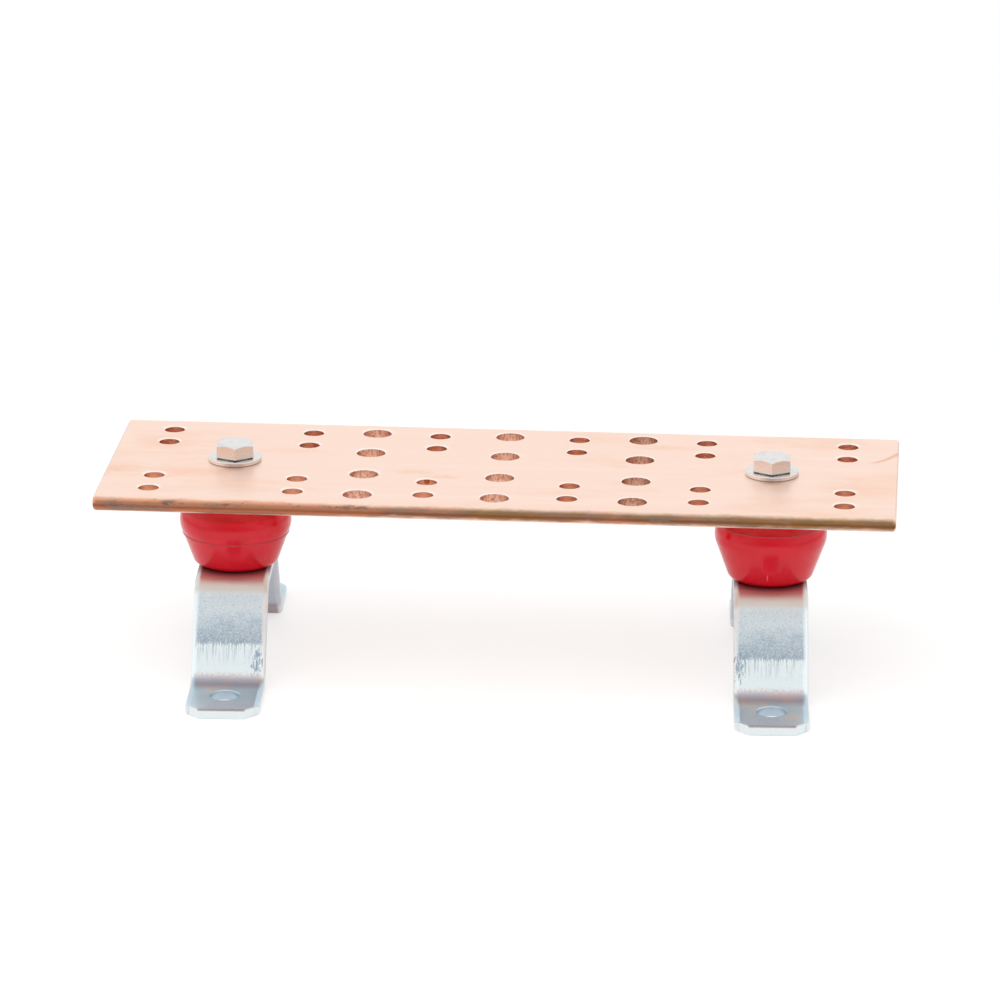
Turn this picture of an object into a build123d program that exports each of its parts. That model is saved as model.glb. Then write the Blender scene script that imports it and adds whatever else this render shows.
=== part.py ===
from build123d import *
import math
import os

# Rack grounding busbar: a drilled copper bar carried by two stand-off insulators on bent steel brackets.
# Frame in millimetres: X along the bar, Y across it, Z up. The origin is on the floor under the middle.

# Copper bar
bar_length = 304.8
bar_width = 101.6
bar_thickness = 6.35
bar_edge_share = 0.488
bar_end_share = 0.22
hole_deburr = 0.35

# Lug holes: pairs on both sides of the bar's middle line, set off it by a share of the bar's width
small_hole_diameter = 7.94
small_pair_spacing = 15.875
small_pair_share = 0.28986
large_hole_diameter = 11.11
large_pair_spacing = 25.4
large_pair_share = 0.25856

# Hole columns and stations: their places as shares of the bar's half length
inner_column_share = 0.17979
large_column_share = 0.34383
outer_column_share = 0.50787
station_share = 0.68241
end_column_share = 0.87008

# Insulator: a barrel that tapers to both ends
insulator_height = 34.8
insulator_belly_diameter = 43.5
insulator_end_diameter = 32.1
insulator_band_height = 3.48
insulator_blend_share = 0.912
insulator_end_radius = 3.0
parting_drop = 2.96
parting_ridge_width = 0.5
parting_ridge_depth = 0.18

# Threaded insert moulded into each end of an insulator
insert_diameter = 14.3
insert_length = 14.5
insert_bore_depth = 13.5
insert_groove_width = 2.0
insert_groove_depth = 1.0
insert_groove_pitch = 4.5

# Bracket: one strip of round-edged steel bent to a hat, measured on the middle of its thickness
strip_width = 28.575
strip_thickness = 3.9
strip_edge_radius = 1.6
bracket_height = 38.0
bracket_top_span = 43.0
bracket_leg_span = 90.4
bracket_foot_span = 152.7
bracket_bend_radius = 6.0
foot_hole_share = 0.478125
foot_hole_diameter = 11.11
foot_corner_clip = 5.6
foot_end_round = 0.5
steep_edge = 0.6
left_bracket_turn = 2.45
right_bracket_turn = 3.05

# Hex bolts: one pattern for the top and the bottom
bolt_diameter = 9.4
bolt_length = 19.0
bolt_tip_chamfer = 0.9
head_across_flats = 14.1
head_height = 5.6
head_chamfer_angle = 30.0
head_top_land = 0.94
washer_face_height = 0.4
washer_face_ratio = 0.95
left_bolt_turn = 6.9
right_bolt_turn = 1.4

# Washers
flat_washer_diameter = 20.64
flat_washer_thickness = 1.65
flat_washer_edge_radius = 0.35
lock_washer_diameter = 16.9
lock_washer_thickness = 2.4
lock_washer_gap = 1.6
lock_washer_slant = 20.0

# Clearances on the diameter
bolt_hole_clearance = 0.9
thread_clearance = 0.12

# Sizes that follow from the ones above
station_offset = station_share * bar_length / 2
bolt_hole_diameter = bolt_diameter + bolt_hole_clearance
insert_bore_diameter = bolt_diameter + thread_clearance
insulator_top = bracket_height + insulator_height
bar_top = insulator_top + bar_thickness
bracket_underside = bracket_height - strip_thickness


def hole_cutter(diameter, depth):
    """A through hole with both rims broken, centred on the origin along Z."""
    cone = Cone(diameter / 2, diameter / 2 + 2 * hole_deburr, 2 * hole_deburr)
    top_rim = Pos(0, 0, depth / 2) * cone
    bottom_rim = Pos(0, 0, -depth / 2) * Rot(180, 0, 0) * cone
    return Cylinder(diameter / 2, 2 * depth) + top_rim + bottom_rim


def pair_rows(offset, spacing):
    """The four Y places of a column with one lug pair on each side of the middle line."""
    inner = offset - spacing / 2
    outer = offset + spacing / 2
    return [-outer, -inner, inner, outer]


def mirrored(places):
    """Each place with its mirror image."""
    return [side * place for place in places for side in (-1, 1)]


def busbar():
    """The drilled bar: long edges rounded until they nearly meet, ends cut square with a broken rim."""
    section = Plane.YZ * RectangleRounded(bar_width, bar_thickness, bar_edge_share * bar_thickness)
    bar = extrude(section, bar_length / 2, both=True)
    ends = bar.faces().sort_by(Axis.X)
    bar = fillet(ends[0].edges() + ends[-1].edges(), bar_end_share * bar_thickness)
    half_length = bar_length / 2
    small_shares = (inner_column_share, outer_column_share, end_column_share)
    small_columns = mirrored([share * half_length for share in small_shares])
    large_columns = [0] + mirrored([large_column_share * half_length])
    small_rows = pair_rows(small_pair_share * bar_width, small_pair_spacing)
    large_rows = pair_rows(large_pair_share * bar_width, large_pair_spacing)
    small_hole = hole_cutter(small_hole_diameter, bar_thickness)
    large_hole = hole_cutter(large_hole_diameter, bar_thickness)
    station_hole = hole_cutter(bolt_hole_diameter, bar_thickness)
    bar -= [Pos(x, y) * small_hole for x in small_columns for y in small_rows]
    bar -= [Pos(x, y) * large_hole for x in large_columns for y in large_rows]
    bar -= [Pos(x, 0) * station_hole for x in mirrored([station_offset])]
    return Pos(0, 0, insulator_top + bar_thickness / 2) * bar


def insulator(parting_at_top):
    """The moulded barrel on Z from 0 to its height, hollowed for its two inserts."""
    end = insulator_end_diameter / 2
    belly = insulator_belly_diameter / 2
    shoulder = (insulator_height - insulator_band_height) / 2
    slope = (belly - end) / shoulder
    belly_blend = insulator_blend_share * insulator_band_height / 2 / math.tan(math.atan(slope) / 2)
    outline = Polyline(
        (0, 0),
        (end, 0),
        (belly, shoulder),
        (belly, insulator_height - shoulder),
        (end, insulator_height),
        (0, insulator_height),
        close=True,
    )
    half_section = make_face(outline)
    by_radius = half_section.vertices().group_by(Axis.X)
    half_section = fillet(by_radius[-1], belly_blend)
    half_section = fillet(half_section.vertices().group_by(Axis.X)[1], insulator_end_radius)
    parting_height = shoulder - parting_drop
    ridge_radius = end + slope * parting_height
    ridge = Pos(ridge_radius, parting_height) * Rectangle(2 * parting_ridge_depth, parting_ridge_width)
    barrel = revolve(Plane.XZ * (half_section + ridge), Axis.Z)
    if parting_at_top:
        barrel = Pos(0, 0, insulator_height) * Rot(180, 0, 0) * barrel
    upper = Pos(0, 0, insulator_height) * insert_envelope()
    lower = Rot(180, 0, 0) * insert_envelope()
    return barrel - upper - lower


def insert_envelope():
    """The insert's outside, hanging from the origin: a turned plug with two grip grooves."""
    plug = Pos(0, 0, -insert_length / 2) * Cylinder(insert_diameter / 2, insert_length)
    groove = Cylinder(insert_diameter, insert_groove_width)
    groove -= Cylinder(insert_diameter / 2 - insert_groove_depth, insert_groove_width)
    first = -insert_length / 2 + insert_groove_pitch / 2
    return plug - [Pos(0, 0, first - turn * insert_groove_pitch) * groove for turn in range(2)]


def threaded_insert():
    bore = Pos(0, 0, -insert_bore_depth / 2) * Cylinder(insert_bore_diameter / 2, insert_bore_depth)
    return insert_envelope() - bore


def bracket():
    """The bent strip, standing on Z 0 with its top flat centred on the axis."""
    foot_level = strip_thickness / 2
    top_level = bracket_height - strip_thickness / 2
    path = FilletPolyline(
        (0, -bracket_foot_span / 2, foot_level),
        (0, -bracket_leg_span / 2, foot_level),
        (0, -bracket_top_span / 2, top_level),
        (0, bracket_top_span / 2, top_level),
        (0, bracket_leg_span / 2, foot_level),
        (0, bracket_foot_span / 2, foot_level),
        radius=bracket_bend_radius,
    )
    start = Plane(path @ 0, x_dir=(1, 0, 0), z_dir=path % 0)
    section = start * RectangleRounded(strip_width, strip_thickness, strip_edge_radius)
    strip = sweep(section, path)
    foot_hole = hole_cutter(foot_hole_diameter, strip_thickness)
    foot_hole_offset = (bracket_leg_span + foot_hole_share * (bracket_foot_span - bracket_leg_span)) / 2
    strip -= [Pos(0, y, foot_level) * foot_hole for y in mirrored([foot_hole_offset])]
    strip -= Pos(0, 0, top_level) * hole_cutter(bolt_hole_diameter, strip_thickness)
    clip = Rot(0, 0, 45) * Box(math.sqrt(2) * foot_corner_clip, math.sqrt(2) * foot_corner_clip, bracket_height)
    corners = [(x, y) for x in mirrored([strip_width / 2]) for y in mirrored([bracket_foot_span / 2])]
    strip -= [Pos(x, y) * clip for x, y in corners]
    clip_start = bracket_foot_span / 2 - foot_corner_clip
    ends = [face for face in strip.faces().filter_by(GeomType.PLANE) if abs(face.center().Y) > clip_start]
    level_edges = [edge for face in ends for edge in face.edges() if abs(edge.tangent_at(0.5).Z) < steep_edge]
    return fillet(level_edges, foot_end_round)


def hex_bolt():
    """A hex bolt with its bearing face at Z 0, head up and a corner of the head towards -Y."""
    body_height = head_height - washer_face_height
    head = extrude(RegularPolygon(head_across_flats / 2, 6, major_radius=False, rotation=30), body_height)
    corner_radius = head_across_flats / math.sqrt(3)
    land_radius = head_top_land * head_across_flats / 2
    drop = (corner_radius - land_radius) * math.tan(math.radians(head_chamfer_angle))
    dome = Polyline(
        (0, 0),
        (corner_radius, 0),
        (corner_radius, body_height - drop),
        (land_radius, body_height),
        (0, body_height),
        close=True,
    )
    head &= revolve(Plane.XZ * make_face(dome), Axis.Z)
    washer_face = Cylinder(washer_face_ratio * head_across_flats / 2, washer_face_height)
    shank = Pos(0, 0, -bolt_length / 2) * Cylinder(bolt_diameter / 2, bolt_length)
    shank = chamfer(shank.edges().sort_by(Axis.Z)[0], bolt_tip_chamfer)
    head = Pos(0, 0, washer_face_height) * head
    return head + Pos(0, 0, washer_face_height / 2) * washer_face + shank


def flat_washer():
    ring = Cylinder(flat_washer_diameter / 2, flat_washer_thickness)
    ring = fillet(ring.edges().sort_by(Axis.Z)[-1], flat_washer_edge_radius)
    ring -= Cylinder(bolt_hole_diameter / 2, flat_washer_thickness)
    return Pos(0, 0, flat_washer_thickness / 2) * ring


def lock_washer():
    """A split spring washer, pressed flat, hanging from Z 0."""
    ring = Cylinder(lock_washer_diameter / 2, lock_washer_thickness)
    ring -= Cylinder(bolt_hole_diameter / 2, lock_washer_thickness)
    split = Box(lock_washer_diameter, lock_washer_gap, 2 * lock_washer_thickness)
    ring -= Rot(lock_washer_slant, 0, 0) * Pos(lock_washer_diameter / 2, 0, 0) * split
    return Pos(0, 0, -lock_washer_thickness / 2) * ring


def station(side, bracket_turn, bolt_turn, parting_at_top):
    """All pieces of one station by name, in place at X 0."""
    upside_down = Rot(180, 0, 0)
    washer_top = bar_top + flat_washer_thickness
    lock_washer_bottom = bracket_underside - lock_washer_thickness
    return {
        f"bracket_{side}": Rot(0, 0, bracket_turn) * bracket(),
        f"insulator_{side}": Pos(0, 0, bracket_height) * insulator(parting_at_top),
        f"upper_insert_{side}": Pos(0, 0, insulator_top) * threaded_insert(),
        f"lower_insert_{side}": Pos(0, 0, bracket_height) * upside_down * threaded_insert(),
        f"top_washer_{side}": Pos(0, 0, bar_top) * flat_washer(),
        f"top_bolt_{side}": Pos(0, 0, washer_top) * Rot(0, 0, bolt_turn) * hex_bolt(),
        f"bottom_lock_washer_{side}": Pos(0, 0, bracket_underside) * lock_washer(),
        f"bottom_bolt_{side}": Pos(0, 0, lock_washer_bottom) * upside_down * hex_bolt(),
    }


def assembly():
    """Every node of the busbar in its place."""
    nodes = {"busbar": busbar()}
    left = ("left", -1, left_bracket_turn, left_bolt_turn, False)
    right = ("right", 1, right_bracket_turn, right_bolt_turn, True)
    for side, sign, bracket_turn, bolt_turn, parting_at_top in (left, right):
        for name, piece in station(side, bracket_turn, bolt_turn, parting_at_top).items():
            nodes[name] = Pos(sign * station_offset, 0, 0) * piece
    return nodes


os.makedirs("parts", exist_ok=True)
for node_name, solid in assembly().items():
    export_step(solid, os.path.join("parts", f"{node_name}.step"))
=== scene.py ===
"""A rack grounding busbar: a drilled copper bar on red insulators and bent zinc brackets."""

import logging
import math
from dataclasses import dataclass
from enum import Enum
from typing import Any, ClassVar, Sequence

import bmesh
import bpy
from mathutils import Euler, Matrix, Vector

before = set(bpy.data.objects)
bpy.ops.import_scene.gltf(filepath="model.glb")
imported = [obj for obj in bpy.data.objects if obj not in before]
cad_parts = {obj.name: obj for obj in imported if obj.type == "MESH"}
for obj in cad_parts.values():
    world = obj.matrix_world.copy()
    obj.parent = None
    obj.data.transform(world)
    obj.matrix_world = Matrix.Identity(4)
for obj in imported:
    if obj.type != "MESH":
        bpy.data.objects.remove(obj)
log = logging.getLogger("grounding_busbar")

MM_PER_M = 1000.0
# How far each insulator stands from the bar's middle, in millimetres.
STATION = 104.0

Colour = tuple[float, float, float]
Pair = tuple[float, float]
Triple = tuple[float, float, float]
Socket = bpy.types.NodeSocket
# Where a change begins and is complete, then its levels there if they are not 0 and 1.
Span = tuple[float, ...]


class Side(Enum):
    """The two stations that carry the bar."""

    LEFT = "left"
    RIGHT = "right"


class Slot(Enum):
    """The record's material slots."""

    COPPER = "copper"
    RED = "red_insulator"
    ZINC = "zinc_plated_steel"
    STAINLESS = "stainless_fasteners"
    BRASS = "insert_brass"


def srgb(red: int, green: int, blue: int) -> Colour:
    """Turns a colour as it looks on screen into the linear one that a shader takes.

    Args:
        red: Red from 0 to 255.
        green: Green from 0 to 255.
        blue: Blue from 0 to 255.

    Returns:
        The linear colour.
    """

    def linear(value: int) -> float:
        """One channel, from screen to linear."""
        share = value / 255
        return share / 12.92 if share <= 0.04045 else ((share + 0.055) / 1.055) ** 2.4

    return linear(red), linear(green), linear(blue)


@dataclass(frozen=True)
class Pattern:
    """A noise pattern: the stretch of its place, its fineness and its finer layers."""

    stretch: Triple = (1.0, 1.0, 1.0)
    scale: float = 1.0
    detail: float = 3.0
    roughness: float = 0.55


@dataclass(frozen=True)
class Blotch:
    """Soft patches: their size, how much they cover, and the stretch and shift of their place."""

    size: float
    cover: float = 0.5
    stretch: Triple = (1.0, 1.0, 1.0)
    shift: Triple = (0.0, 0.0, 0.0)


class Wiring:
    """Adds nodes to one shader tree and joins their sockets."""

    patch_border = 1.3

    def __init__(self, tree: bpy.types.NodeTree) -> None:
        """Keeps the tree that the nodes go into."""
        self.tree = tree

    def node(self, kind: str, **settings: Any) -> bpy.types.Node:
        """Adds a node.

        Args:
            kind: The node's type name.
            settings: Properties to set on it.

        Returns:
            The new node.
        """
        made = self.tree.nodes.new(kind)
        for name, value in settings.items():
            setattr(made, name, value)
        return made

    def feed(self, socket: Socket, value: Any) -> None:
        """Joins a socket to another one, or sets it to a plain value.

        Args:
            socket: The input to fill.
            value: An output socket, a number or a colour.
        """
        if isinstance(value, Socket):
            self.tree.links.new(value, socket)
        elif isinstance(value, (int, float)):
            socket.default_value = value
        else:
            wanted = len(socket.default_value)
            socket.default_value = (*value, 1.0)[:wanted]

    def maths(self, operation: str, *values: Any) -> Socket:
        """Adds a Math node.

        Args:
            operation: The node's operation.
            values: What its inputs get, in order.

        Returns:
            The result's socket.
        """
        made = self.node("ShaderNodeMath", operation=operation)
        for socket, value in zip(made.inputs, values):
            self.feed(socket, value)
        return made.outputs[0]

    def product(self, first: Any, *others: Any) -> Socket:
        """Multiplies masks and shares.

        Args:
            first: The first of them.
            others: What it is multiplied by, in order.

        Returns:
            The product's socket.
        """
        for other in others:
            first = self.maths("MULTIPLY", first, other)
        return first

    def swing(self, value: Any, depth: float) -> Socket:
        """Turns a pattern around a half into one of the given depth around 0."""
        return self.maths("MULTIPLY_ADD", value, depth, -depth / 2)

    def between(self, value: Any, low: float, high: float, start: float = 0.0, end: float = 1.0) -> Socket:
        """Eases a value from start to end while it goes from low to high.

        Args:
            value: The value to read.
            low: Where the change begins.
            high: Where it is complete.
            start: The result at low and before.
            end: The result at high and after.

        Returns:
            The result's socket.
        """
        made = self.node("ShaderNodeMapRange", interpolation_type="SMOOTHSTEP")
        names = ("Value", "From Min", "From Max", "To Min", "To Max")
        for name, number in zip(names, (value, low, high, start, end)):
            self.feed(made.inputs[name], number)
        return made.outputs["Result"]

    def tint(self, share: Any, first: Any, second: Any, blend: str = "MIX") -> Socket:
        """Blends two colours.

        Args:
            share: How much of the second one, from 0 to 1.
            first: The colour below.
            second: The colour above.
            blend: The blend type.

        Returns:
            The blended colour's socket.
        """
        made = self.node("ShaderNodeMix", data_type="RGBA", blend_type=blend)
        self.feed(made.inputs["Factor"], share)
        self.feed(made.inputs[6], first)
        self.feed(made.inputs[7], second)
        return made.outputs[2]

    def mapped(self, place: Any, scale: Triple, shift: Triple = (0.0, 0.0, 0.0)) -> Socket:
        """Stretches and shifts coordinates.

        Args:
            place: The coordinates.
            scale: The factor on each axis.
            shift: What is added after that.

        Returns:
            The new coordinates' socket.
        """
        made = self.node("ShaderNodeMapping")
        self.feed(made.inputs["Vector"], place)
        made.inputs["Scale"].default_value = scale
        made.inputs["Location"].default_value = shift
        return made.outputs[0]

    def noise(self, place: Any, pattern: Pattern, scale: Any = None) -> Socket:
        """Adds a noise pattern.

        Args:
            place: The coordinates.
            pattern: The pattern's settings.
            scale: How fine it is, if not as the settings say.

        Returns:
            The pattern's value, around a half.
        """
        made = self.node("ShaderNodeTexNoise")
        self.feed(made.inputs["Vector"], self.mapped(place, pattern.stretch))
        self.feed(made.inputs["Scale"], pattern.scale if scale is None else scale)
        made.inputs["Detail"].default_value = pattern.detail
        made.inputs["Roughness"].default_value = pattern.roughness
        return made.outputs[0]

    def axes(self, place: Any) -> tuple[Socket, Socket, Socket]:
        """Splits coordinates into X, Y and Z."""
        made = self.node("ShaderNodeSeparateXYZ")
        self.feed(made.inputs[0], place)
        return made.outputs[0], made.outputs[1], made.outputs[2]

    def joined(self, *values: Any) -> Socket:
        """Joins numbers into coordinates."""
        made = self.node("ShaderNodeCombineXYZ")
        for socket, value in zip(made.inputs, values):
            self.feed(socket, value)
        return made.outputs[0]

    def distance(self, place: Any, spot: Sequence[float] = (0.0, 0.0, 0.0)) -> Socket:
        """Measures how far a place is from a spot."""
        made = self.node("ShaderNodeVectorMath", operation="DISTANCE")
        self.feed(made.inputs[0], place)
        made.inputs[1].default_value = spot
        return made.outputs["Value"]

    def bump(self, height: Any, strength: float, distance: float, normal: Any = None) -> Socket:
        """Turns a height pattern into a normal.

        Args:
            height: The pattern.
            strength: How much of it shows.
            distance: Its depth in metres.
            normal: The normal that it starts from, if not the surface's own.

        Returns:
            The normal's socket.
        """
        made = self.node("ShaderNodeBump")
        made.inputs["Strength"].default_value = strength
        made.inputs["Distance"].default_value = distance
        self.feed(made.inputs["Height"], height)
        if normal is not None:
            self.feed(made.inputs["Normal"], normal)
        return made.outputs[0]

    def patch(
        self, spot: Sequence[Socket], middle: Pair, reach: Sequence[float], fray: Any, core: float = 0.5
    ) -> Socket:
        """Marks an oval patch with a frayed border.

        Args:
            spot: The two coordinates to read.
            middle: Where the patch is.
            reach: Its half sizes.
            fray: What is added to the border, around 0.
            core: The level where the patch is full; lower is softer.

        Returns:
            The mask's socket.
        """
        level = fray
        for value, centre, half in zip(spot, middle, reach):
            gap = self.maths("DIVIDE", self.maths("SUBTRACT", value, centre), half)
            level = self.maths("ADD", level, self.maths("MULTIPLY", gap, gap))
        return self.between(level, self.patch_border, core)

    def shared(self, group: bpy.types.NodeTree, **values: Any) -> bpy.types.Node:
        """Places a shared effect.

        Args:
            group: The effect's node group.
            values: What its inputs get.

        Returns:
            The group node.
        """
        made = self.node("ShaderNodeGroup", node_tree=group)
        for name, value in values.items():
            self.feed(made.inputs[name], value)
        return made


class Effects:
    """The surface effects that more than one finish uses, as node groups."""

    coarse = Pattern(scale=0.22, detail=4.0)
    coarse_levels: Span = (0.32, 0.68)
    fine = Pattern(scale=1.6, roughness=0.7)
    fine_levels: Span = (0.3, 0.7)
    blotch = Pattern(detail=5.0, roughness=0.6)
    blotch_levels: Span = (0.45, 0.7)
    half_cover = 0.5
    clouds = Pattern(detail=5.0, roughness=0.65)
    cloud_share = 0.8
    facet_share = 0.5
    hair = Pattern(detail=2.0, roughness=0.5)
    hair_turns = (0.5, -0.85)
    hair_fineness = 2.2
    hair_levels: Span = (0.74, 0.8)

    def __init__(self) -> None:
        """Builds each effect once."""
        self.streaks = self.make_streaks()
        self.blotches = self.make_blotches()
        self.grain = self.make_grain()
        self.scratches = self.make_scratches()

    @staticmethod
    def start(
        name: str, inputs: Sequence[str], outputs: Sequence[str]
    ) -> tuple[Wiring, bpy.types.Node, bpy.types.Node]:
        """Starts a node group that reads a Place and some numbers.

        Args:
            name: The group's name.
            inputs: Names of its number inputs.
            outputs: Names of its value outputs.

        Returns:
            The group's wiring, its input node and its output node.
        """
        group = bpy.data.node_groups.new(name, "ShaderNodeTree")
        group.interface.new_socket(name="Place", in_out="INPUT", socket_type="NodeSocketVector")
        for in_out, labels in (("INPUT", inputs), ("OUTPUT", outputs)):
            for label in labels:
                group.interface.new_socket(name=label, in_out=in_out, socket_type="NodeSocketFloat")
        wiring = Wiring(group)
        return wiring, wiring.node("NodeGroupInput"), wiring.node("NodeGroupOutput")

    def make_streaks(self) -> bpy.types.NodeTree:
        """Makes rolling and drawing streaks along the place's X, as Coarse and Fine masks."""
        wiring, given, result = self.start("drawn_streaks", ("Length", "Fineness"), ("Coarse", "Fine"))
        along, across, height = wiring.axes(given.outputs["Place"])
        drawn = wiring.joined(
            wiring.maths("DIVIDE", along, given.outputs["Length"]),
            wiring.maths("MULTIPLY", across, given.outputs["Fineness"]),
            wiring.maths("MULTIPLY", height, given.outputs["Fineness"]),
        )
        for name, pattern, levels in (
            ("Coarse", self.coarse, self.coarse_levels),
            ("Fine", self.fine, self.fine_levels),
        ):
            mask = wiring.between(wiring.noise(drawn, pattern), *levels)
            wiring.feed(result.inputs[name], mask)
        return wiring.tree

    def make_blotches(self) -> bpy.types.NodeTree:
        """Makes soft patches of the given Size, covering more as Cover goes from 0 to 1."""
        wiring, given, result = self.start("soft_blotches", ("Size", "Cover"), ("Mask",))
        scale = wiring.maths("DIVIDE", 1.0, given.outputs["Size"])
        broad = wiring.noise(given.outputs["Place"], self.blotch, scale)
        more = wiring.maths("SUBTRACT", given.outputs["Cover"], self.half_cover)
        mask = wiring.between(wiring.maths("ADD", broad, more), *self.blotch_levels)
        wiring.feed(result.inputs["Mask"], mask)
        return wiring.tree

    def make_grain(self) -> bpy.types.NodeTree:
        """Makes crystalline grain of the given Size, as a Height."""
        wiring, given, result = self.start("metal_grain", ("Size",), ("Height",))
        place = given.outputs["Place"]
        scale = wiring.maths("DIVIDE", 1.0, given.outputs["Size"])
        cells = wiring.node("ShaderNodeTexVoronoi", feature="F1")
        wiring.feed(cells.inputs["Vector"], place)
        wiring.feed(cells.inputs["Scale"], scale)
        facet, _, _ = wiring.axes(cells.outputs["Color"])
        clouds = wiring.noise(place, self.clouds, wiring.product(scale, self.cloud_share))
        height = wiring.maths("MULTIPLY_ADD", facet, self.facet_share, clouds)
        wiring.feed(result.inputs["Height"], height)
        return wiring.tree

    def make_scratches(self) -> bpy.types.NodeTree:
        """Makes sparse hair scratches in two directions, as a Mask."""
        wiring, given, result = self.start("hair_scratches", ("Length", "Amount"), ("Mask",))
        lines = []
        for turn in self.hair_turns:
            turned = wiring.node("ShaderNodeVectorRotate", rotation_type="Z_AXIS")
            wiring.feed(turned.inputs["Vector"], given.outputs["Place"])
            turned.inputs["Angle"].default_value = turn
            along, across, height = wiring.axes(turned.outputs[0])
            drawn = wiring.joined(
                wiring.maths("DIVIDE", along, given.outputs["Length"]),
                wiring.maths("MULTIPLY", across, self.hair_fineness),
                height,
            )
            level = wiring.maths("ADD", wiring.noise(drawn, self.hair), given.outputs["Amount"])
            lines.append(wiring.between(level, *self.hair_levels))
        wiring.feed(result.inputs["Mask"], wiring.maths("MAXIMUM", *lines))
        return wiring.tree


@dataclass(frozen=True)
class Finish:
    """What every finish has: a name, the roughness of its plain parts and how metallic it is."""

    metallic: ClassVar[float] = 1.0
    name: str
    roughness: float

    def wire(self, on: "Surface") -> None:
        """Wires the finish's shader."""
        raise NotImplementedError

    def material(self, effects: Effects) -> bpy.types.Material:
        """Makes the finish's material.

        Args:
            effects: The shared surface effects.

        Returns:
            The material.
        """
        on = Surface(self, effects)
        self.wire(on)
        return on.material


class Surface(Wiring):
    """One finish's wiring, with the shared effects and the place in millimetres that masks read."""

    def __init__(self, finish: Finish, effects: Effects) -> None:
        """Makes the material.

        Args:
            finish: The finish, for its plain values.
            effects: The shared surface effects.
        """
        self.material = bpy.data.materials.new(finish.name)
        self.material.use_nodes = True
        super().__init__(self.material.node_tree)
        self.effects = effects
        self.shader = self.tree.nodes["Principled BSDF"]
        self.show(Metallic=finish.metallic, Roughness=finish.roughness)
        where = self.node("ShaderNodeTexCoord").outputs["Object"]
        self.place = self.mapped(where, (MM_PER_M,) * 3)

    def show(self, **inputs: Any) -> None:
        """Fills inputs of the main shader, with _ for a space in their names."""
        for name, value in inputs.items():
            self.feed(self.shader.inputs[name.replace("_", " ")], value)

    def facing(self) -> tuple[Socket, Socket, Socket]:
        """Splits the surface's normal into X, Y and Z."""
        return self.axes(self.node("ShaderNodeNewGeometry").outputs["Normal"])

    def streaks(self, place: Socket, length: float, fineness: float) -> tuple[Socket, Socket]:
        """Places drawn streaks, as a coarse and a fine mask."""
        made = self.shared(self.effects.streaks, Place=place, Length=length, Fineness=fineness)
        return made.outputs["Coarse"], made.outputs["Fine"]

    def blotches(self, blotch: Blotch, place: Socket | None = None, cover: Socket | None = None) -> Socket:
        """Places soft patches.

        Args:
            blotch: Their settings.
            place: The coordinates, if not the surface's own.
            cover: How much they cover, if not as the settings say.

        Returns:
            The mask's socket.
        """
        where = self.mapped(self.place if place is None else place, blotch.stretch, blotch.shift)
        cover = blotch.cover if cover is None else cover
        made = self.shared(self.effects.blotches, Place=where, Size=blotch.size, Cover=cover)
        return made.outputs["Mask"]

    def grain(self, place: Socket, size: float) -> Socket:
        """Places crystalline grain, as a height."""
        return self.shared(self.effects.grain, Place=place, Size=size).outputs["Height"]

    def scratches(self, length: float, amount: float) -> Socket:
        """Places hair scratches, as a mask."""
        made = self.shared(self.effects.scratches, Place=self.place, Length=length, Amount=amount)
        return made.outputs["Mask"]


@dataclass(frozen=True)
class HoleGrid:
    """Where the holes of one size are, alike on both sides of the bar's middle lines."""

    columns: tuple[float, ...]
    rows: tuple[float, ...]
    radius: float


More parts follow.
